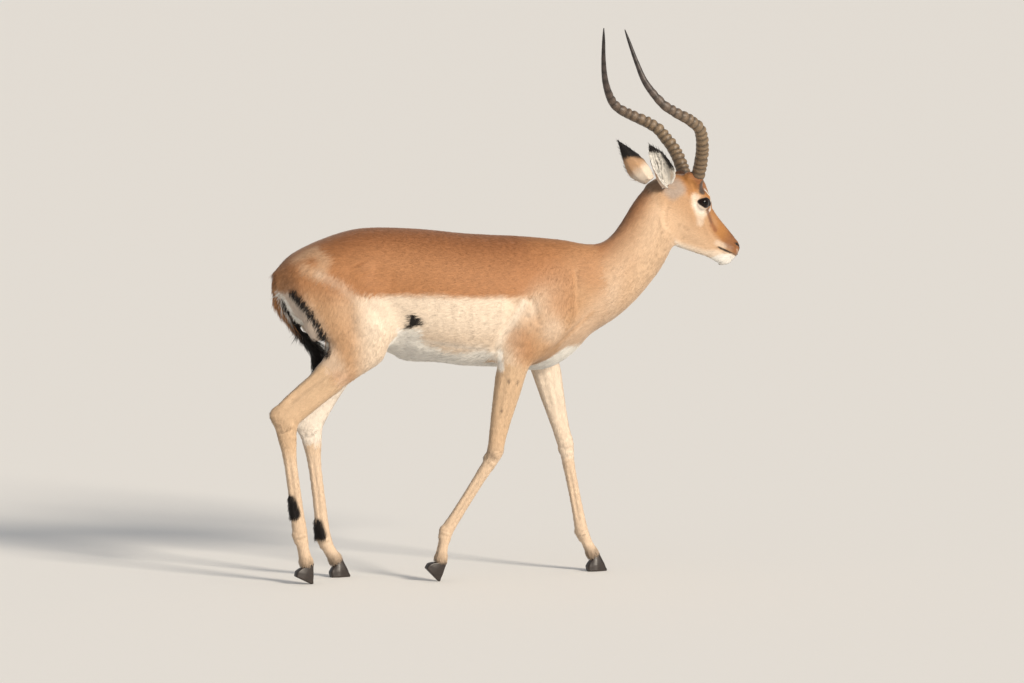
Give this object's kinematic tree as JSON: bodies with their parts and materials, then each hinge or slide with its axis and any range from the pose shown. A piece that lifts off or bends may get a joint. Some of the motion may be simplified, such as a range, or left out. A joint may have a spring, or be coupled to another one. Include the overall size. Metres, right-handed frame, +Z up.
{
  "type": "antelope figure",
  "caption": "Life-size still figure of a male antelope in mid walk, with ringed lyre-shaped horns, slender legs and cloven hooves.",
  "frame": {"origin": "middle of the figure's footprint box, at floor level", "axes": "+X forward along the body, +Y to the animal's left, +Z up"},
  "size_m": [1.2692, 0.3048, 1.4052],
  "materials": {
    "rufous_coat": "short glossy reddish-brown hair",
    "fawn_coat": "short fawn hair",
    "leg_coat": "very short pale tan hair",
    "ear_fur": "short tan hair with black tips",
    "tail_fur": "longer tan, white and black hair",
    "horn": "ridged grey-brown keratin",
    "hoof": "smooth black keratin",
    "eye": "wet dark brown eye"
  },
  "bodies": {
    "root": {"eye_left": "eye", "eye_right": "eye", "head": "fawn_coat", "neck": "fawn_coat", "hind_right_thigh": "fawn_coat", "hind_right_gaskin": "leg_coat", "hind_right_cannon": "leg_coat", "hind_right_pastern": "leg_coat", "hind_right_hoof_outer": "hoof", "hind_right_hoof_inner": "hoof", "hind_left_thigh": "fawn_coat", "hind_left_gaskin": "leg_coat", "hind_left_cannon": "leg_coat", "hind_left_pastern": "leg_coat", "hind_left_hoof_outer": "hoof", "hind_left_hoof_inner": "hoof", "fore_right_shoulder": "fawn_coat", "fore_right_forearm": "leg_coat", "fore_right_cannon": "leg_coat", "fore_right_pastern": "leg_coat", "fore_right_hoof_outer": "hoof", "fore_right_hoof_inner": "hoof", "fore_left_shoulder": "fawn_coat", "fore_left_forearm": "leg_coat", "fore_left_cannon": "leg_coat", "fore_left_pastern": "leg_coat", "fore_left_hoof_outer": "hoof", "fore_left_hoof_inner": "hoof", "trunk": "rufous_coat", "tail": "tail_fur", "ear_left": "ear_fur", "ear_right": "ear_fur", "horn_left": "horn", "horn_right": "horn"}
  },
  "joints": []
}
